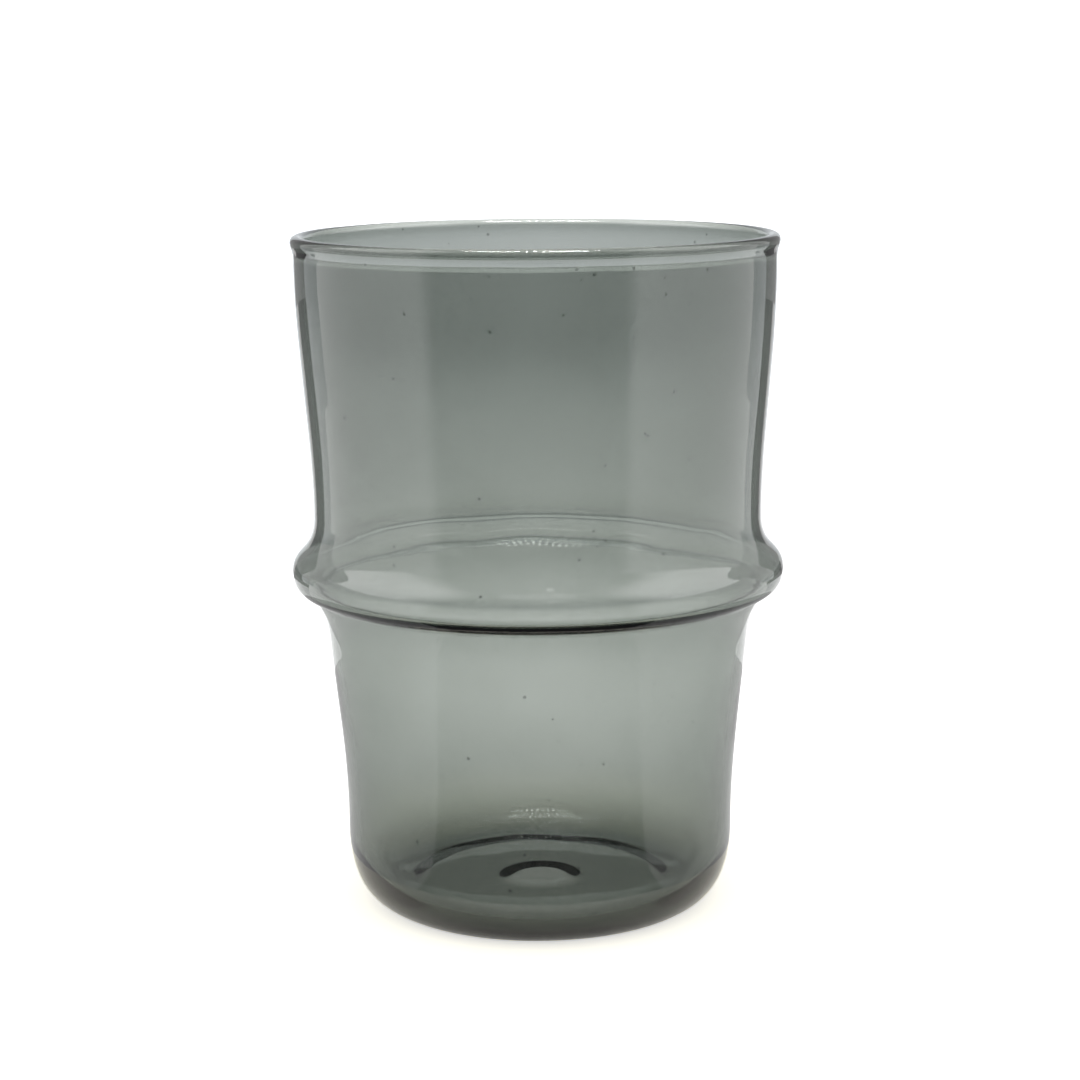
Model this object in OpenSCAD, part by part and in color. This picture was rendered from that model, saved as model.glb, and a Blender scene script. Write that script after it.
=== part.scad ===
// Smoke grey cortado glass: a small blown tumbler with a rounded lip, a gently tapered upper
// wall, a hollow ring that stands out over a narrower lower wall, and a rounded heel.
// The real glass is one piece of blown glass. Its six zones are separate solids here, which
// meet face to face on flat cuts, so that each can be looked at or changed by itself.
// +Z is up, the axis of the glass is the Z axis and it stands on the plane z = 0.

/* [Overall] */
// Height from the table to the top of the lip
glass_h = 86.9; // [82:0.1:94]
// Diameter over the lip, the widest part of the mouth
rim_d = 62; // [60:0.1:65]

/* [Lip] */
// How far the lip stands out from the wall
lip_out = 0.4; // [0.2:0.05:0.8]
// Height of the lip, from its top down to where it has run out into the wall
lip_h = 3; // [2.2:0.1:5]

/* [Upper wall] */
// Thickness of the upper wall
upper_t = 1.25; // [0.9:0.05:1.6]
// Diameter at the waist, the narrowest line above the ring
waist_d = 57.7; // [56:0.1:59.5]

/* [Ring] */
// Diameter over the ring at its widest line
ring_d = 63.5; // [62.4:0.1:66]
// Height of the widest line of the ring over the table
ring_z = 44.3; // [40:0.1:48]
// Height of the shoulder, from the widest line up to the waist
shoulder_h = 6.8; // [5.5:0.1:9]
// Height of the underside, from the widest line down to the crease
underside_h = 3.3; // [2.6:0.1:3.9]
// Width of the underside, from the widest line in to the crease
underside_w = 2.4; // [1.8:0.1:3]
// Angle at which the underside comes down into the crease, below the horizontal
underside_angle = 35; // [25:1:42]
// Radius of the glass in the crease
crease_fillet = 0.65; // [0.3:0.05:0.9]
// Thickness of the wall in the ring
ring_t = 1.15; // [0.8:0.05:1.4]

/* [Lower wall] */
// Height of the flare under the crease
flare_h = 8.7; // [7:0.1:11]
// How far the flare draws the wall in, from the crease to the neck at its foot
flare_w = 2.5; // [2:0.1:3]
// Angle at which the flare leaves the crease, below the horizontal
flare_angle = 57; // [50:1:68]
// Lean of the wall at the neck, from the vertical
wall_lean = 6; // [3:0.5:8]
// Thickness of the lower wall
lower_t = 0.95; // [0.7:0.05:1.2]

/* [Heel and foot] */
// Height of the heel, the rounded corner at the bottom
heel_h = 9.6; // [8:0.1:11.5]
// Diameter at the top of the heel
heel_d = 50.3; // [49:0.1:51.4]
// Thickness of the wall at the top of the heel
heel_t = 1.2; // [0.9:0.05:1.5]
// Diameter over the flat ring that rests on the table
foot_d = 40; // [38:0.1:42]
// Width of the flat ring that rests on the table
foot_ring_w = 1.8; // [1.2:0.1:3]
// Height of the floor inside, over the table
floor_z = 2; // [1.8:0.05:2.6]
// Diameter of the flat part of the floor inside
floor_d = 38; // [35:0.1:40]
// Depth of the hollow inside the foot ring
punt_h = 0.5; // [0.3:0.05:0.8]
// Width of the slope from the foot up into the hollow
punt_slope_w = 3.4; // [2.4:0.1:4]
// Diameter of the small dimple in the middle, left where the glass was held
dimple_d = 12.4; // [10:0.1:14]
// Depth of the dimple over the hollow
dimple_h = 0.6; // [0.3:0.05:0.8]
// Width of the slope round the dimple
dimple_slope_w = 3.2; // [2:0.1:4]

/* [Smoothness] */
// Number of steps in each curved stretch of the outline
stretch_steps = 14; // [8:1:20]
// Number of steps in each small round of the outline
round_steps = 6; // [4:1:10]
// Number of sides used for round shapes
$fn = 96; // [48:12:144]

/* [Hidden] */
smoke_grey = [0.52, 0.55, 0.53];
smoke_alpha = 0.55;

// How far the tangents of each stretch reach, as shares of its height or width
lip_pull_shares = [0.35, 0.6];
upper_pull_shares = [0.37, 0.34];
shoulder_pull_shares = [0.68, 0.31];
underside_pull_shares = [0.83, 0.49];
flare_pull_shares = [0.44, 0.54];
wall_pull_shares = [0.36, 0.34];
heel_pull_shares = [0.91, 0.2];
floor_pull_shares = [0.8, 0.3];
slope_pull_share = 0.45;

// Places on the outer face, as [distance from the axis, height]
lip_r = (upper_t + lip_out) / 2;
lip_centre = [rim_d / 2 - lip_r, glass_h - lip_r];
lip_side = lip_centre + [lip_r, 0];
wall_top = [lip_side.x - lip_out, glass_h - lip_h];
waist = [waist_d / 2, ring_z + shoulder_h];
widest = [ring_d / 2, ring_z];
crease = widest - [underside_w, underside_h];
neck = crease - [flare_w, flare_h];
heel_top = [heel_d / 2, heel_h];
foot_edge = [foot_d / 2, 0];
floor_edge = [floor_d / 2, floor_z];

down = [0, -1];
inward = [-1, 0];
under_dir = [-cos(underside_angle), -sin(underside_angle)];
flare_dir = [-cos(flare_angle), -sin(flare_angle)];
lean_dir = [-sin(wall_lean), -cos(wall_lean)];
crease_turn = flare_angle - underside_angle;
crease_reach = crease_fillet * tan(crease_turn / 2);
crease_in = crease - crease_reach * under_dir;
crease_out = crease + crease_reach * flare_dir;
across_wall = [-under_dir.y, under_dir.x];
fillet_centre = crease_in + crease_fillet * across_wall;
beyond_wall = max(rim_d, ring_d);

// A cubic curve leaves a towards b and comes to d from c
function curve_at(k, t) =
    pow(1 - t, 3) * k[0] + 3 * pow(1 - t, 2) * t * k[1] + 3 * (1 - t) * t * t * k[2] + pow(t, 3) * k[3];
function curve_way(k, t) =
    pow(1 - t, 2) * (k[1] - k[0]) + 2 * (1 - t) * t * (k[2] - k[1]) + t * t * (k[3] - k[2]);
// The face of the wall looks to the right of the way down its outline
function outward(way) = [-way.y, way.x] / norm(way);
function reversed(points) = [for (i = [len(points) - 1 : -1 : 0]) points[i]];
function polar(centre, radius, angle) = centre + radius * [cos(angle), sin(angle)];

// A stretch of wall: its curve, and its thickness at either end
function stretch(from, from_dir, from_pull, to, to_dir, to_pull, t_from = 0, t_to = 0) =
    [[from, from + from_dir * from_pull, to - to_dir * to_pull, to], t_from, t_to];
// Its outer face, and its inner face, which lies the thickness behind the outer one
function outer_face(s) = [for (i = [0 : stretch_steps]) curve_at(s[0], i / stretch_steps)];
function inner_face(s) = [
    for (i = [0 : stretch_steps])
        let (t = i / stretch_steps)
            curve_at(s[0], t) - (s[1] * (1 - t) + s[2] * t) * outward(curve_way(s[0], t))
];

lip_drop = lip_side.y - wall_top.y;
lip_run_out = stretch(lip_side, down, lip_drop * lip_pull_shares[0],
                      wall_top, down, lip_drop * lip_pull_shares[1]);
upper_h = wall_top.y - waist.y;
upper = stretch(wall_top, down, upper_h * upper_pull_shares[0],
                waist, down, upper_h * upper_pull_shares[1], upper_t, upper_t);
shoulder = stretch(waist, down, shoulder_h * shoulder_pull_shares[0],
                   widest, down, shoulder_h * shoulder_pull_shares[1], upper_t, ring_t);
// The underside has a curve for either face, because its corner is about as tight as the wall
// is thick, and so has the heel, because the floor inside has its own height and width
underside = stretch(widest, down, underside_h * underside_pull_shares[0],
                    crease_in, under_dir, underside_w * underside_pull_shares[1]);
inside_widest = widest + ring_t * inward;
inside_crease = crease_in - ring_t * across_wall;
inside_turn = inside_widest - inside_crease;
inner_underside = stretch(inside_widest, down, inside_turn.y * underside_pull_shares[0],
                          inside_crease, under_dir, inside_turn.x * underside_pull_shares[1]);
flare = stretch(crease_out, flare_dir, flare_h * flare_pull_shares[0],
                neck, lean_dir, flare_h * flare_pull_shares[1], ring_t, lower_t);
lower_h = neck.y - heel_top.y;
lower = stretch(neck, lean_dir, lower_h * wall_pull_shares[0],
                heel_top, down, lower_h * wall_pull_shares[1], lower_t, heel_t);
outer_corner = stretch(heel_top, down, heel_h * heel_pull_shares[0],
                       foot_edge, inward, (heel_top.x - foot_edge.x) * heel_pull_shares[1]);
inner_top = heel_top + heel_t * inward;
inner_corner = stretch(inner_top, down, (heel_h - floor_z) * floor_pull_shares[0],
                       floor_edge, inward, (inner_top.x - floor_edge.x) * floor_pull_shares[1]);

// The round in the crease turns from the way of the underside to the way of the flare
function crease_arc(radius) = [
    for (i = [0 : round_steps])
        polar(fillet_centre, radius, 90 + underside_angle + crease_turn * i / round_steps)
];

// The top of the lip: a half round, from the inner face of the wall over to the side of the lip
lip_steps = 2 * stretch_steps;
lip_round = [for (i = [0 : lip_steps]) polar(lip_centre, lip_r, 180 * (1 - i / lip_steps))];

// A smooth slope on the underside, from one level in to another
function slope(outer_r, inner_r, z_from, z_to) =
    let (pull = (outer_r - inner_r) * slope_pull_share,
         k = [[outer_r, z_from], [outer_r - pull, z_from], [inner_r + pull, z_to], [inner_r, z_to]])
    [for (i = [0 : round_steps]) curve_at(k, i / round_steps)];
punt_r = foot_edge.x - foot_ring_w;
dimple_r = dimple_d / 2;
underneath = concat(
    slope(punt_r, punt_r - punt_slope_w, 0, punt_h),
    slope(dimple_r, dimple_r - dimple_slope_w, punt_h, punt_h + dimple_h),
    [[0, punt_h + dimple_h]]
);

// The whole section of the wall, right of the axis
module wall_section() {
    polygon(concat(
        lip_round,
        outer_face(lip_run_out),
        outer_face(upper),
        outer_face(shoulder),
        outer_face(underside),
        crease_arc(crease_fillet),
        outer_face(flare),
        outer_face(lower),
        outer_face(outer_corner),
        underneath,
        [[0, floor_z]],
        reversed(concat(
            inner_face(upper),
            inner_face(shoulder),
            outer_face(inner_underside),
            crease_arc(crease_fillet + ring_t),
            inner_face(flare),
            inner_face(lower),
            outer_face(inner_corner)
        ))
    ));
}

// One zone of the glass: the section between two heights and two distances from the axis
module zone(z_low, z_high, r_low = 0, r_high = beyond_wall) {
    color(smoke_grey, smoke_alpha)
    rotate_extrude()
    intersection() {
        wall_section();
        translate([r_low, z_low]) square([r_high - r_low, z_high - z_low]);
    }
}

// The rounded lip that a drinker's mouth meets
module lip() {
    zone(wall_top.y, glass_h);
}

// The tall upper wall, from under the lip down to the waist
module upper_wall() {
    zone(waist.y, wall_top.y);
}

// The hollow ring: its shoulder, its widest line and its underside
module ring() {
    zone(crease_out.y, waist.y);
}

// The flare under the ring and the lower wall, down to the heel
module lower_wall() {
    zone(heel_top.y, crease_out.y);
}

// The rounded corner round the base
module heel() {
    zone(0, heel_top.y, foot_edge.x);
}

// The floor of the glass, with the foot and the hollow under it
module base() {
    zone(0, heel_top.y, 0, foot_edge.x);
}

lip();
upper_wall();
ring();
lower_wall();
heel();
base();
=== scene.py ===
# %% [markdown]
# # Smoke grey cortado glass
# This is a lesson in making one small object look right: a blown drinking glass. It is only
# one material and one piece, so everything depends on three things: the true thickness of the
# wall, glass that takes up light by the millimetre, and a bright room for it to reflect.
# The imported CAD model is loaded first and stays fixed. All lengths in Blender are metres.

# %% Load the frame
import math

import bpy
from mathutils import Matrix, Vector


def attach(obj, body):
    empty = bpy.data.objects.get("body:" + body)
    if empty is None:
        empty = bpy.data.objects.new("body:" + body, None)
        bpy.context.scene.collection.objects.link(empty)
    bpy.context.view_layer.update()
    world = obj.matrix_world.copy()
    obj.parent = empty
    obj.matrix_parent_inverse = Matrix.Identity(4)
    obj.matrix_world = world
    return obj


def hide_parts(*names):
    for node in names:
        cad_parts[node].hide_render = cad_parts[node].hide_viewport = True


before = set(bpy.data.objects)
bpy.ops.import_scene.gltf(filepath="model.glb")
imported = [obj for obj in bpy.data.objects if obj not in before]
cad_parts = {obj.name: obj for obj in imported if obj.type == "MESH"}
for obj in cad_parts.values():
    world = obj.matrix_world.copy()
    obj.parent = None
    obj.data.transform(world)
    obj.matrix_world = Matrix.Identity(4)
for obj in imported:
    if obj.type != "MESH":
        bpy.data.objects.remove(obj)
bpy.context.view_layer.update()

# %% [markdown]
# ## Helpers
# Blender's operators act on whatever is selected, so each step starts by clearing the
# selection. Sizes are easier to read in millimetres, so one constant turns them into metres.

# %% Small helpers
MM = 0.001


def clear_selection():
    if bpy.context.mode != "OBJECT":
        bpy.ops.object.mode_set(mode="OBJECT")
    bpy.ops.object.select_all(action="DESELECT")


clear_selection()
print("objects selected:", len(bpy.context.selected_objects))

# %% [markdown]
# ## Camera
# The photograph was taken with a long lens from about 31 cm in front of the glass and a
# little above its rim, so the mouth shows as a flat ellipse. A long lens keeps the sides
# nearly parallel. Place, tilt and lens were worked out from the outline in the photograph.

# %% Place the camera
CAMERA_PLACE = (0, -0.30822, 0.10635)
CAMERA_TILT, CAMERA_ROLL, CAMERA_TURN = 79.1364, 0.4276, -0.1336
SENSOR_WIDTH, FOCAL_LENGTH = 36, 80.57

clear_selection()
bpy.ops.object.camera_add(
    location=CAMERA_PLACE,
    rotation=(math.radians(CAMERA_TILT), math.radians(CAMERA_ROLL), math.radians(CAMERA_TURN)),
)
camera = bpy.context.object
camera.name = "camera"
camera.data.sensor_width = SENSOR_WIDTH
camera.data.lens = FOCAL_LENGTH
camera.data.clip_start = 0.01
bpy.context.scene.camera = camera
print("camera at", tuple(round(v, 3) for v in camera.location), "lens", camera.data.lens, "mm")

# %% [markdown]
# ## The outline of the wall
# A lathe shape is one outline turned round an axis. The outline here is a closed section of
# the wall, so the glass gets its real thickness from it: 1.25 mm above the ring and 0.95 mm
# under it, where the gather of glass was drawn out most. A single line with a Solidify
# modifier would be quicker, but it has one thickness everywhere, and glass shows every error
# in its thickness. The section is drawn from cubic curves, each given by where it starts,
# where it ends and how far it holds its direction at either end, which is its pull. Points are
# (distance from the axis, height).

# %% Curve tools
def stretch(start, start_pull, end, end_pull, steps, thick_from=0.0, thick_to=0.0):
    """Points of a cubic curve. With a thickness, they lie that far behind it, square to it."""
    a, d = Vector(start), Vector(end)
    b, c = a + Vector(start_pull), d - Vector(end_pull)
    points = []
    for i in range(steps + 1):
        t = i / steps
        u = 1 - t
        place = u ** 3 * a + 3 * u ** 2 * t * b + 3 * u * t * t * c + t ** 3 * d
        way = u ** 2 * (b - a) + 2 * u * t * (c - b) + t * t * (d - c)
        out = Vector((-way.y, way.x)).normalized()
        points.append(place - out * (thick_from * u + thick_to * t))
    return points


def arc(centre, radius, angle_from, angle_to, steps):
    """Points of an arc; angles are in degrees, counted from straight outwards."""
    points = []
    for i in range(steps + 1):
        angle = math.radians(angle_from + (angle_to - angle_from) * i / steps)
        points.append(Vector((centre[0] + radius * math.cos(angle),
                              centre[1] + radius * math.sin(angle))))
    return points


def inward(angle):
    """Direction that runs in and down, at an angle below the horizontal."""
    return Vector((-math.cos(math.radians(angle)), -math.sin(math.radians(angle))))


# %% Sizes in mm and degrees, the same as in the CAD model
HEIGHT, RIM_R = 86.9, 31.0
LIP_OUT, LIP_H = 0.4, 3.0
UPPER_T, RING_T, LOWER_T, HEEL_T = 1.25, 1.15, 0.95, 1.2
WAIST_R, WAIST_Z = 28.85, 51.1
WIDEST_R, WIDEST_Z = 31.75, 44.3
CREASE_R, CREASE_Z = 29.35, 41.0
NECK_R, NECK_Z = 26.85, 32.3
UNDERSIDE_ANGLE, FLARE_ANGLE, WALL_LEAN = 35, 57, 6
CREASE_FILLET = 0.65
HEEL_R, HEEL_Z = 25.15, 9.6
FOOT_R, PUNT_R, DIMPLE_R = 20.0, 18.2, 6.2
FLOOR_R, FLOOR_Z = 19.0, 2.0
PUNT_Z, DIMPLE_Z = 0.5, 1.1
PUNT_SLOPE, DIMPLE_SLOPE = 3.4, 3.2
print("height, rim, ring and foot in mm:", HEIGHT, 2 * RIM_R, 2 * WIDEST_R, 2 * FOOT_R)

# %% Where each stretch of the wall starts and ends, and its pulls
lip_r = (UPPER_T + LIP_OUT) / 2
lip_side = Vector((RIM_R, HEIGHT - lip_r))
wall_top = Vector((RIM_R - LIP_OUT, HEIGHT - LIP_H))
waist, widest = Vector((WAIST_R, WAIST_Z)), Vector((WIDEST_R, WIDEST_Z))
crease, neck = Vector((CREASE_R, CREASE_Z)), Vector((NECK_R, NECK_Z))
heel_top = Vector((HEEL_R, HEEL_Z))

lip_h = lip_side.y - wall_top.y
upper_h = wall_top.y - WAIST_Z
shoulder_h = WAIST_Z - WIDEST_Z
under_h, under_w = WIDEST_Z - CREASE_Z, WIDEST_R - CREASE_R
flare_h = CREASE_Z - NECK_Z
lower_h = NECK_Z - HEEL_Z

under_way, flare_way = inward(UNDERSIDE_ANGLE), inward(FLARE_ANGLE)
lean_way = inward(90 - WALL_LEAN)
crease_reach = CREASE_FILLET * math.tan(math.radians((FLARE_ANGLE - UNDERSIDE_ANGLE) / 2))
crease_in = crease - crease_reach * under_way
crease_out = crease + crease_reach * flare_way
across_wall = Vector((-under_way.y, under_way.x))
crease_round = crease_in + CREASE_FILLET * across_wall

# Each one: start, its pull, end, its pull, steps. The pulls are shares of the stretch's size.
lip = (lip_side, (0, -0.35 * lip_h), wall_top, (0, -0.6 * lip_h), 24)
upper = (wall_top, (0, -0.37 * upper_h), waist, (0, -0.34 * upper_h), 22)
shoulder = (waist, (0, -0.68 * shoulder_h), widest, (0, -0.31 * shoulder_h), 16)
underside = (widest, (0, -0.83 * under_h), crease_in, 0.49 * under_w * under_way, 14)
flare = (crease_out, 0.44 * flare_h * flare_way, neck, 0.54 * flare_h * lean_way, 16)
lower = (neck, 0.36 * lower_h * lean_way, heel_top, (0, -0.34 * lower_h), 18)
heel = (heel_top, (0, -0.91 * HEEL_Z), (FOOT_R, 0), (-0.2 * (HEEL_R - FOOT_R), 0), 20)
print("the wall runs from", round(wall_top.y, 2), "mm down to 0 mm")

# %% Outer face, from the side of the lip down to the foot
outer_face = (
    stretch(*lip) + stretch(*upper) + stretch(*shoulder) + stretch(*underside)
    + arc(crease_round, CREASE_FILLET, 90 + UNDERSIDE_ANGLE, 90 + FLARE_ANGLE, 6)
    + stretch(*flare) + stretch(*lower) + stretch(*heel)
)
print("points on the outer face:", len(outer_face))

# %% [markdown]
# Flat stretches need care. Smooth shading blends the directions of neighbouring faces, so a
# flat floor that is one wide ring of faces would look bent. Extra points just inside the ends
# of each flat stretch keep the blend in a narrow band.

# %% Underside of the base, from the foot to the axis
def flat(r_from, r_to, z):
    """Points along a flat stretch, close together at its ends."""
    shares = (0.04, 0.15, 0.5, 0.85, 0.96)
    return [Vector((r_from + (r_to - r_from) * s, z)) for s in shares]


def slope(r_from, r_to, z_from, z_to):
    """Points of a soft step from one flat stretch to the next."""
    pull = -0.45 * (r_from - r_to)
    return stretch((r_from, z_from), (pull, 0), (r_to, z_to), (pull, 0), 10)


punt_in, dimple_in = PUNT_R - PUNT_SLOPE, DIMPLE_R - DIMPLE_SLOPE
underneath = (
    flat(FOOT_R, PUNT_R, 0)
    + slope(PUNT_R, punt_in, 0, PUNT_Z)
    + flat(punt_in, DIMPLE_R, PUNT_Z)
    + slope(DIMPLE_R, dimple_in, PUNT_Z, DIMPLE_Z)
    + flat(dimple_in, 0, DIMPLE_Z)[:3]
    + [Vector((0, DIMPLE_Z))]
)
print("points underneath:", len(underneath))

# %% Inner face, from the lip down to the floor
inner_r = HEEL_R - HEEL_T
inner_heel = stretch((inner_r, HEEL_Z), (0, -0.8 * (HEEL_Z - FLOOR_Z)),
                     (FLOOR_R, FLOOR_Z), (-0.3 * (inner_r - FLOOR_R), 0), 20)
inside_widest = widest - Vector((RING_T, 0))
inside_crease = crease_in - RING_T * across_wall
turn = inside_widest - inside_crease
inner_underside = stretch(inside_widest, (0, -0.83 * turn.y),
                          inside_crease, 0.49 * turn.x * under_way, 14)
inner_face = (
    stretch(*upper, UPPER_T, UPPER_T)
    + stretch(*shoulder, UPPER_T, RING_T)
    + inner_underside
    + arc(crease_round, CREASE_FILLET + RING_T, 90 + UNDERSIDE_ANGLE, 90 + FLARE_ANGLE, 6)
    + stretch(*flare, RING_T, LOWER_T)
    + stretch(*lower, LOWER_T, HEEL_T)
    + inner_heel
)
print("points on the inner face:", len(inner_face))

# %% [markdown]
# The whole section starts in the middle of the floor inside. It runs out along the floor, up
# the inner face, over the lip in a half round, down the outer face and under the base back to
# the axis. Where two stretches share a point, only one of the two is kept.

# %% Join the stretches
SAME_POINT = 0.004

inner_floor = [Vector((0, FLOOR_Z))] + flat(0, FLOOR_R, FLOOR_Z)[1:]
lip_round = arc(lip_side - Vector((lip_r, 0)), lip_r, 180, 0, 32)
outline = inner_floor + inner_face[::-1] + lip_round + outer_face + underneath
section = [outline[0]]
for point in outline[1:]:
    if (point - section[-1]).length > SAME_POINT:
        section.append(point)
print("points in the section:", len(section))

# %% [markdown]
# ## Drawing the section
# By hand, the outline would be drawn by extruding one vertex after another. A plane whose four
# corners are merged at its centre leaves a single vertex to start from. It is moved to the
# first point and extruded from point to point.

# %% Draw the section vertex by vertex
clear_selection()
bpy.ops.mesh.primitive_plane_add(size=MM, location=(0, 0, 0))
glass = bpy.context.object
glass.name = "smoke_glass_tumbler"
bpy.ops.object.mode_set(mode="EDIT")
bpy.ops.mesh.merge(type="CENTER")
bpy.ops.transform.translate(value=(section[0].x * MM, 0, section[0].y * MM))
for here, there in zip(section, section[1:]):
    step = (there - here) * MM
    bpy.ops.mesh.extrude_region_move(TRANSFORM_OT_translate={"value": (step.x, 0, step.y)})
bpy.ops.object.mode_set(mode="OBJECT")
print("vertices drawn:", len(glass.data.vertices))

# %% [markdown]
# ## Turning it round the axis
# Spin turns the outline through a full circle. That leaves a double row where the circle closes
# and a heap of points on top of each other at each pole, so doubles are merged. Spin can also
# leave the faces inside out, so the normals are recalculated after the merge.

# %% Spin, merge and recalculate
SPIN_STEPS = 240


def activate(piece):
    clear_selection()
    piece.select_set(True)
    bpy.context.view_layer.objects.active = piece


activate(glass)
bpy.ops.object.mode_set(mode="EDIT")
bpy.ops.mesh.select_all(action="SELECT")
bpy.ops.mesh.spin(steps=SPIN_STEPS, angle=2 * math.pi, center=(0, 0, 0), axis=(0, 0, 1))
bpy.ops.mesh.select_all(action="SELECT")
bpy.ops.mesh.remove_doubles(threshold=0.002 * MM)
bpy.ops.mesh.normals_make_consistent(inside=False)
bpy.ops.object.mode_set(mode="OBJECT")
bpy.ops.object.shade_smooth()
triangles = sum(len(face.vertices) - 2 for face in glass.data.polygons)
print("glass:", len(glass.data.vertices), "vertices,", triangles, "triangles")

# %% [markdown]
# Blown glass is never quite true. Two Displace modifiers push the whole wall sideways by a few
# hundredths of a millimetre in slow waves, which bends the reflections as on the real glass,
# and a third one varies the thickness by about a hundredth. Sculpting would do the same, but
# modifiers give the same waves each time. The waves are much longer than the faces, so the
# surface stays smooth.

# %% Waves of the hand-blown wall
def waves(name, direction, strength, size):
    texture = bpy.data.textures.new(name, type="CLOUDS")
    texture.noise_scale = size
    texture.noise_depth = 1
    push = glass.modifiers.new(name, "DISPLACE")
    push.texture = texture
    push.texture_coords = "LOCAL"
    push.direction = direction
    push.mid_level = 0.5
    push.strength = strength
    bpy.ops.object.modifier_apply(modifier=name)


activate(glass)
waves("sway_x", "X", 0.28 * MM, 0.026)
waves("sway_y", "Y", 0.28 * MM, 0.034)
waves("thickness", "NORMAL", 0.06 * MM, 0.012)
print("glass after the waves, in mm:", [round(1000 * d, 2) for d in glass.dimensions])

# %% [markdown]
# ## Node helpers
# Every material here is a small net of nodes. Four helpers keep the cells below short: a new
# empty material, any node, and the three kinds of node that come up most. The pair of numbers
# is the node's place in the node editor.

# %% Node helpers
def new_material(name):
    material = bpy.data.materials.new(name)
    material.use_nodes = True
    material.node_tree.nodes.clear()
    return material, material.node_tree


def add(tree, kind, place, **settings):
    node = tree.nodes.new("ShaderNode" + kind)
    node.location = place
    for key, value in settings.items():
        setattr(node, key, value)
    return node


def maths(tree, place, operation, *values):
    """Output of a Math node that works on numbers and on the outputs of other nodes."""
    node = add(tree, "Math", place, operation=operation)
    for socket, value in zip(node.inputs, values):
        if isinstance(value, bpy.types.NodeSocket):
            tree.links.new(value, socket)
        else:
            socket.default_value = value
    return node.outputs[0]


def spread(tree, place, value, low, high, to_low, to_high, **settings):
    """Output of a Map Range node: low to high becomes to_low to to_high."""
    node = add(tree, "MapRange", place, **settings)
    tree.links.new(value, node.inputs["Value"])
    ends = {"From Min": low, "From Max": high, "To Min": to_low, "To Max": to_high}
    for socket, end in ends.items():
        node.inputs[socket].default_value = end
    return node.outputs["Result"]


def ramp(tree, place, value, stops):
    """Output of a Color Ramp through stops of (position, colour)."""
    node = add(tree, "ValToRGB", place)
    tree.links.new(value, node.inputs["Fac"])
    elements = node.color_ramp.elements
    elements.remove(elements[-1])
    for index, (position, colour) in enumerate(stops):
        stop = elements.new(position) if index else elements[0]
        stop.position, stop.color = position, (*colour, 1)
    return node.outputs["Color"]


# %% [markdown]
# ## The glass
# Smoke glass isn't grey on its surface. Its colour is in the glass, so light gets darker with
# each millimetre that it passes. A Volume Absorption node does exactly that, which makes the
# thick base and the edges of the walls darker than the middle by themselves. A grey Base Color
# would darken thick and thin glass alike. The surface is a plain Principled BSDF with full
# transmission. A glass that has stood on a shelf carries some dust: a Voronoi texture in Object
# coordinates gives small specks, each of its own size, which darken the Base Color where the
# surface cuts through them.

# %% Smoke glass
GLASS_TINT = (0.283, 0.325, 0.284)
GLASS_DENSITY = 1000
DUST_PER_METRE = 600

smoke, tree = new_material("smoke_glass_blown")
surface = add(tree, "BsdfPrincipled", (0, 200))
surface.inputs["Roughness"].default_value = 0.0
surface.inputs["IOR"].default_value = 1.47
surface.inputs["Transmission Weight"].default_value = 1.0

place = add(tree, "TexCoord", (-1100, 200))
dust = add(tree, "TexVoronoi", (-900, 200))
dust.inputs["Scale"].default_value = DUST_PER_METRE
tree.links.new(place.outputs["Object"], dust.inputs["Vector"])
size = spread(tree, (-700, 50), dust.outputs["Color"], 0.6, 0.9, 0.0, 0.13)
speck = maths(tree, (-500, 200), "LESS_THAN", dust.outputs["Distance"], size)
tone = spread(tree, (-300, 200), speck, 0.0, 1.0, 1.0, 0.4)
tree.links.new(tone, surface.inputs["Base Color"])

depth = add(tree, "VolumeAbsorption", (0, -300))
depth.inputs["Color"].default_value = (*GLASS_TINT, 1)
depth.inputs["Density"].default_value = GLASS_DENSITY
out = add(tree, "OutputMaterial", (320, 0))
tree.links.new(surface.outputs[0], out.inputs["Surface"])
tree.links.new(depth.outputs[0], out.inputs["Volume"])
glass.data.materials.clear()
glass.data.materials.append(smoke)
taken_up = [round(1 - math.exp(-GLASS_DENSITY * MM * (1 - tint)), 2) for tint in GLASS_TINT]
print("share of red, green and blue taken up by a millimetre:", taken_up)

# %% [markdown]
# The glass is one closed mesh, so it takes the place of all six nodes of the CAD model at once.

# %% Hand the piece to the frame
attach(glass, "root")
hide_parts("lip", "upper_wall", "ring", "lower_wall", "heel", "base")

# %% [markdown]
# ## Floor
# The glass stands on white paper that curves up behind it. A flat plane would end in a line
# that the glass shows, so the back edge is extruded up in three steps. The paper lies a
# twentieth of a millimetre under the foot, so that glass and paper don't share a face.

# %% Floor sweep
clear_selection()
bpy.ops.mesh.primitive_plane_add(size=1, location=(0, 0, 0))
floor = bpy.context.object
floor.name = "floor_sweep"
bpy.ops.object.mode_set(mode="EDIT")
bpy.ops.transform.resize(value=(4, 2.6, 1))
bpy.ops.transform.translate(value=(0, 0.97, -0.05 * MM))
bpy.ops.mesh.select_all(action="DESELECT")
bpy.ops.object.mode_set(mode="OBJECT")
for edge in floor.data.edges:
    edge.select = all(floor.data.vertices[i].co.y > 2 for i in edge.vertices)
bpy.ops.object.mode_set(mode="EDIT")
bpy.ops.mesh.select_mode(type="EDGE")
for step in ((0, 0.3, 0.1), (0, 0.1, 0.3), (0, 0, 1.2)):
    bpy.ops.mesh.extrude_region_move(TRANSFORM_OT_translate={"value": step})
bpy.ops.object.mode_set(mode="OBJECT")
bpy.ops.object.shade_smooth()
print("faces in the sweep:", len(floor.data.polygons))

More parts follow.
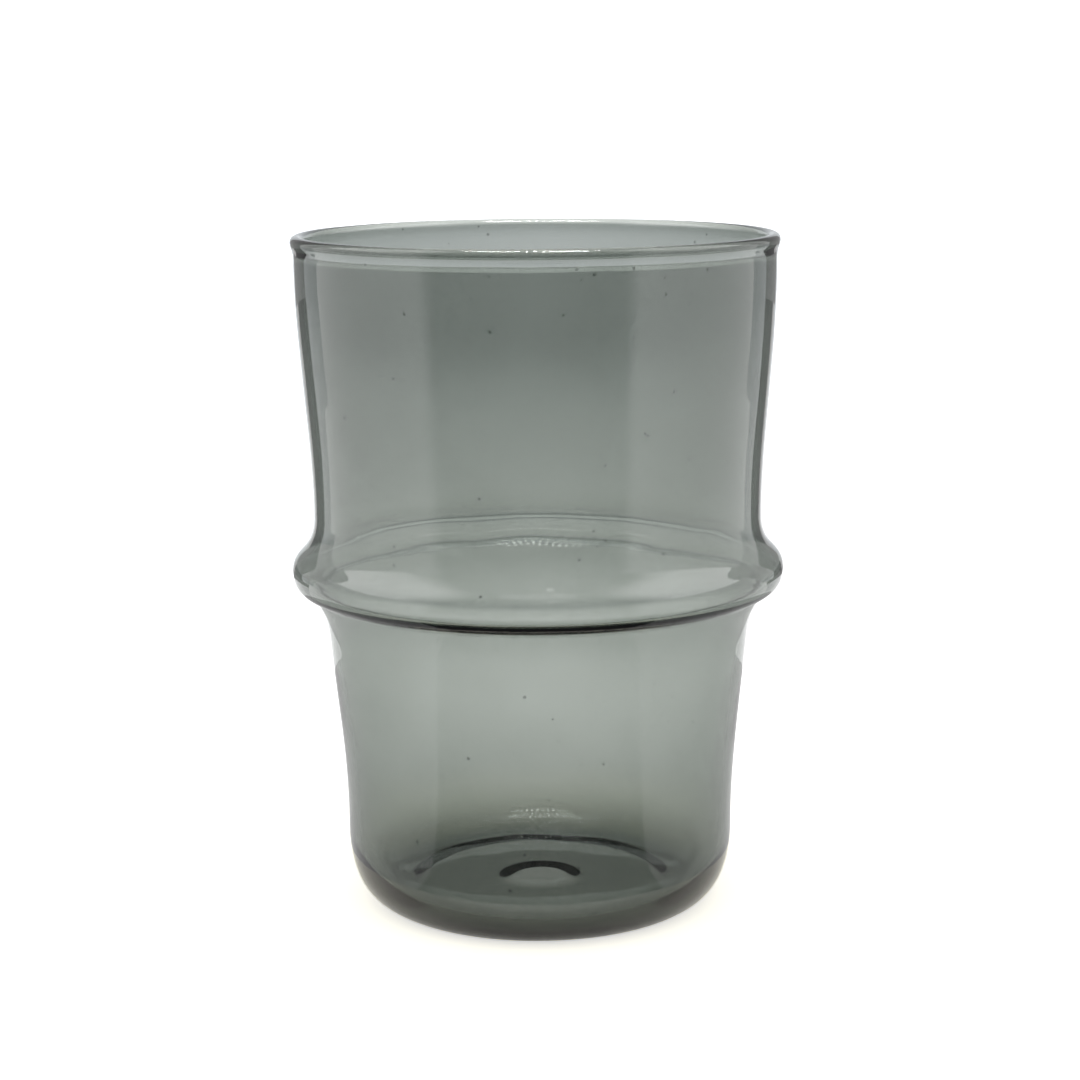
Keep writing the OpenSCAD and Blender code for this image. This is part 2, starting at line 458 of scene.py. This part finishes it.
# %% [markdown]
# The paper is plain and pale and keeps the real shadow of the glass. Under the glass its colour
# is a painted warm shade that stands in for light tinted by the smoke glass, and far behind it
# it is a little cooler. Its white is lifted by a glow for rays from the camera, and for rays
# that come through the glass or off it, so that the glass shows the same white as the camera
# sees. The lift in the glass fades further back, where less light falls on the paper. Where the
# paper curves up into the lit backdrop the lift comes back, but only for light that has passed
# both walls of the glass (Ray Depth over 2).

# %% White paper
# Painted warm shade under the glass, then plain white, then a little cooler far behind it.
PAPER_TONES_WITH_PAINTED_SHADE = ((0.025, (0.88, 0.835, 0.66)), (0.06, (0.9, 0.9, 0.9)), (0.5, (0.87, 0.9, 0.92)))
LIFT_FOR_CAMERA, LIFT_IN_GLASS = 0.6, 0.38

paper, tree = new_material("white_floor")
place = add(tree, "TexCoord", (-900, 200))
reach = add(tree, "VectorMath", (-700, 200), operation="LENGTH")
tree.links.new(place.outputs["Object"], reach.inputs[0])
distance = reach.outputs["Value"]
matt = add(tree, "BsdfPrincipled", (0, 200))
matt.inputs["Roughness"].default_value = 0.9
matt.inputs["Specular IOR Level"].default_value = 0.0
tree.links.new(ramp(tree, (-500, 450), distance, PAPER_TONES_WITH_PAINTED_SHADE), matt.inputs["Base Color"])

rays = add(tree, "LightPath", (-900, -150)).outputs
fall = spread(tree, (-500, 200), distance, 0.14, 0.7, 1.24, 0.14)
rise = spread(tree, (-500, -400), distance, 1.5, 1.8, 0.0, 1.1)
both_walls = maths(tree, (-700, -550), "GREATER_THAN", rays["Ray Depth"], 2.5)
level = maths(tree, (-300, 50), "MULTIPLY_ADD", rise, both_walls, fall)
seen = maths(tree, (-500, -50), "MULTIPLY", rays["Is Camera Ray"], LIFT_FOR_CAMERA)
by_glass = maths(tree, (-700, -250), "ADD", rays["Is Glossy Ray"], rays["Is Transmission Ray"])
most = maths(tree, (-500, -250), "MULTIPLY", by_glass, LIFT_IN_GLASS)
fading = maths(tree, (-300, -200), "MULTIPLY", most, level)
lift = maths(tree, (-100, -100), "ADD", seen, fading)

glow = add(tree, "Emission", (80, -200))
both = add(tree, "AddShader", (300, 100))
out = add(tree, "OutputMaterial", (500, 100))
tree.links.new(lift, glow.inputs["Strength"])
tree.links.new(matt.outputs[0], both.inputs[0])
tree.links.new(glow.outputs[0], both.inputs[1])
tree.links.new(both.outputs[0], out.inputs["Surface"])
floor.data.materials.append(paper)
print("nodes in the paper:", len(tree.nodes))

# %% [markdown]
# ## What the glass reflects
# Clear glass shows its surroundings, so the tent round it matters as much as the glass. Each
# part of the tent is a curved card: a short line spun through a part of a circle round the
# glass. The cards only show in the glass. The camera, the floor and the shadows ignore them,
# so each card can be set for one reflection without changing the rest of the picture, which
# a lamp can't.

# %% Glow of the cards
def glow_material(name, strength, bounces=0):
    """Plain glow; with bounces given, only for light that met the glass at least so often."""
    material, tree = new_material(name)
    light = add(tree, "Emission", (0, 0))
    light.inputs["Strength"].default_value = strength
    out = add(tree, "OutputMaterial", (400, 0))
    tree.links.new(light.outputs[0], out.inputs["Surface"])
    if bounces:
        rays = add(tree, "LightPath", (-200, 250)).outputs
        enough = maths(tree, (0, 250), "GREATER_THAN", rays["Ray Depth"], bounces - 0.5)
        clear = add(tree, "BsdfTransparent", (0, 100))
        choose = add(tree, "MixShader", (200, 50))
        tree.links.new(enough, choose.inputs[0])
        tree.links.new(clear.outputs[0], choose.inputs[1])
        tree.links.new(light.outputs[0], choose.inputs[2])
        tree.links.new(choose.outputs[0], out.inputs["Surface"])
    material.cycles.emission_sampling = "NONE"
    return material


# %% [markdown]
# The front of the tent is open towards the camera, and the room behind it is dark. Its mirror
# image is the dark upright window on the front of the glass. A colour ramp over the turn round
# the glass gives the soft edges of that opening: the flaps beside it are dim, and further round
# the wall, the table and the top of the tent are bright.

# %% Glow that changes round the tent
# How far the tent has changed from its dark front to its bright sides, at turns in degrees
WALL_TURNS = (
    (-53, 1), (-46, 0.06), (-37, 0.06), (-32, 0), (30, 0), (34, 0.06), (40, 0.08), (46, 1))
TOP_TURNS = ((-74, 1), (-50, 0.04), (-36, 0), (34, 0), (48, 0.04), (72, 1))


def tent_material(name, turns, side, front, front_far, near=0.0, far=1.0):
    """Glow of the sides and of the front, which changes from near to far off the glass."""
    material = glow_material(name, side)
    tree = material.node_tree
    place = add(tree, "TexCoord", (-1100, 0))
    turn = add(tree, "TexGradient", (-900, 150), gradient_type="RADIAL")
    reach = add(tree, "VectorMath", (-900, -150), operation="LENGTH")
    tree.links.new(place.outputs["Object"], turn.inputs["Vector"])
    tree.links.new(place.outputs["Object"], reach.inputs[0])
    stops = [(angle / 360 + 0.25, (share, share, share)) for angle, share in turns]
    share = ramp(tree, (-700, 150), turn.outputs["Fac"], stops)
    dark = spread(tree, (-600, -150), reach.outputs["Value"], near, far, front, front_far,
                  interpolation_type="SMOOTHSTEP")
    mix = add(tree, "Mix", (-200, 0))
    mix.inputs["B"].default_value = side
    tree.links.new(share, mix.inputs["Factor"])
    tree.links.new(dark, mix.inputs["A"])
    tree.links.new(mix.outputs["Result"], tree.nodes["Emission"].inputs["Strength"])
    return material


# %% Curved cards round the glass
def show_only_in_glass(card, straight_through=False):
    card.visible_camera = False
    card.visible_diffuse = False
    card.visible_shadow = False
    card.visible_transmission = straight_through


def tent_card(start, line, turn_from, turn_to, material, straight_through=False):
    """A line from start (out, up) along line (out, up), spun between two turns from the camera."""
    clear_selection()
    bpy.ops.mesh.primitive_plane_add(size=0.01, location=(0, 0, 0))
    card = bpy.context.object
    card.name = material.name
    bpy.ops.object.mode_set(mode="EDIT")
    bpy.ops.mesh.select_mode(type="VERT")
    bpy.ops.mesh.merge(type="CENTER")
    side, ahead = math.sin(math.radians(turn_from)), -math.cos(math.radians(turn_from))
    bpy.ops.transform.translate(value=(side * start[0], ahead * start[0], start[1]))
    bpy.ops.mesh.extrude_region_move(
        TRANSFORM_OT_translate={"value": (side * line[0], ahead * line[0], line[1])})
    bpy.ops.mesh.select_all(action="SELECT")
    bpy.ops.mesh.spin(
        steps=24, angle=-math.radians(turn_to - turn_from), center=(0, 0, 0), axis=(0, 0, 1))
    bpy.ops.object.mode_set(mode="OBJECT")
    card.data.materials.append(material)
    show_only_in_glass(card, straight_through)
    ends = [v.co for v in card.data.vertices]
    print(card.name, "from", [round(c, 2) for c in ends[0]], "to", [round(c, 2) for c in ends[-1]])


def card_pair(name, start, line, turn_from, turn_to, strength):
    """The same card on the left and on the right."""
    tent_card(start, line, -turn_to, -turn_from, glow_material("left_" + name, strength))
    tent_card(start, line, turn_from, turn_to, glow_material("right_" + name, strength))


# %% The tent: its wall, top and table
wall = tent_material("tent_wall", WALL_TURNS, 1.8, 0.03, 0.03)
top = tent_material("tent_top", TOP_TURNS, 4, 0.03, 0.03)
table = tent_material("tent_table", WALL_TURNS, 1.9, 1.25, 0.03, near=0.12, far=0.34)
tent_card((0.34, 0), (0.01, 0.22), -120, 120, wall)
tent_card((0.35, 0.22), (-0.1, 0.4), -115, 115, top)
tent_card((0.12, 0.001), (0.22, 0), -125, 125, table)

# %% [markdown]
# The part of the table next to the glass is in the glass's own shade, most of all in front.

# %% The table near the glass
near_table = glow_material("near_table", 0.15)
tent_card((0.032, 0.001), (0.088, 0), -50, 50, near_table)
side_table = glow_material("side_table", 0.8)
tent_card((0.032, 0.001), (0.088, 0), 50, 310, side_table)

# %% [markdown]
# Two dark bands far behind the glass only count for light that has bounced inside it (Ray
# Depth of 5 or more). That light makes the two nearly black arcs in the base.

# %% Dark bands for the arcs in the base
BAND_R, BAND_GLOW, BAND_BOUNCES = 1.5, 0.01, 5

for name, bottom, height in (("low_dark_band", 0.16, 0.1), ("high_dark_band", 0.4, 0.22)):
    band = glow_material(name, BAND_GLOW, BAND_BOUNCES)
    tent_card((BAND_R, bottom), (0, height), 120, 240, band, straight_through=True)

# %% [markdown]
# Behind the glass, left and right, hang narrow curtains and stand dim parts of the table. Only
# the edges of the walls reflect them, and they give these edges their dark line.

# %% Curtains for the edges of the walls
card_pair("curtain", (0.28, 0), (0, 0.05), 134, 150, 0.22)
card_pair("curtain_edge", (0.28, 0), (0, 0.05), 150, 155, 0.8)
card_pair("rear_table", (0.2, 0.001), (0.08, 0), 125, 157, 0.35)
card_pair("drape", (0.28, 0.05), (0, 0.35), 134, 157, 0.42)

# %% [markdown]
# Two bars of small lamps hang over the tent. In the glass they show as rows of short white
# dashes: the top bar on the lip and at the back of the heel, the front bar in the hollow of the
# ring. A small group of weak lamps shows as faint spots on the front of the ring. Each bar is
# one flat lamp that an Array modifier repeats.

# %% Lamp bars
LAMP_Z = 0.45


def lamp_bar(name, count, step, x_from, width, y_from, y_to, strength, bounces=0):
    """A row of flat lamps, side by side along x, that all reach from y_from to y_to."""
    clear_selection()
    bpy.ops.mesh.primitive_plane_add(size=1, location=(0, 0, 0))
    lamps = bpy.context.object
    lamps.name = name
    bpy.ops.object.mode_set(mode="EDIT")
    bpy.ops.transform.resize(value=(width, y_to - y_from, 1))
    bpy.ops.transform.translate(value=(x_from, (y_from + y_to) / 2, LAMP_Z))
    bpy.ops.object.mode_set(mode="OBJECT")
    row = lamps.modifiers.new("row", "ARRAY")
    row.use_relative_offset = False
    row.use_constant_offset = True
    row.constant_offset_displace = (step, 0, 0)
    row.count = count
    bpy.ops.object.modifier_apply(modifier="row")
    lamps.data.materials.append(glow_material(name, strength, bounces))
    show_only_in_glass(lamps)
    print(name, "lamps:", len(lamps.data.polygons))


lamp_bar("front_lamp_bar", 18, 0.024, -0.18, 0.009, -0.33, -0.17, 80, bounces=2)
lamp_bar("top_lamp_bar", 16, 0.0143, -0.115, 0.005, -0.12, 0.02, 60)
lamp_bar("small_lamp", 4, 0.0055, 0.029, 0.002, -0.26, -0.2, 7)

# %% [markdown]
# ## World
# An even white sky lights the paper. It is a little brighter for rays that come through the
# glass or off it, which is what they meet between the cards.

# %% White sky
SKY, SKY_EXTRA_IN_GLASS = 1.0, 0.2

world = bpy.data.worlds.new("light_tent")
bpy.context.scene.world = world
world.use_nodes = True
tree = world.node_tree
tree.nodes.clear()
rays = add(tree, "LightPath", (-800, 0)).outputs
by_glass = maths(tree, (-600, 0), "ADD", rays["Is Glossy Ray"], rays["Is Transmission Ray"])
strength = maths(tree, (-400, 0), "MULTIPLY_ADD", by_glass, SKY_EXTRA_IN_GLASS, SKY)
sky = add(tree, "Background", (0, 0))
sky.inputs["Color"].default_value = (1, 1, 1, 1)
tree.links.new(strength, sky.inputs["Strength"])
out = add(tree, "OutputWorld", (200, 0))
tree.links.new(sky.outputs[0], out.inputs["Surface"])
print("nodes in the sky:", len(tree.nodes))

# %% [markdown]
# ## Finish
# Light has to pass many surfaces in a glass, so the limits for bounces are raised. The Standard
# view keeps the white of the paper white.

# %% Colour management and finish
scene = bpy.context.scene
scene.view_settings.view_transform = "Standard"
scene.cycles.max_bounces = 24
scene.cycles.transmission_bounces = 24
scene.cycles.glossy_bounces = 12
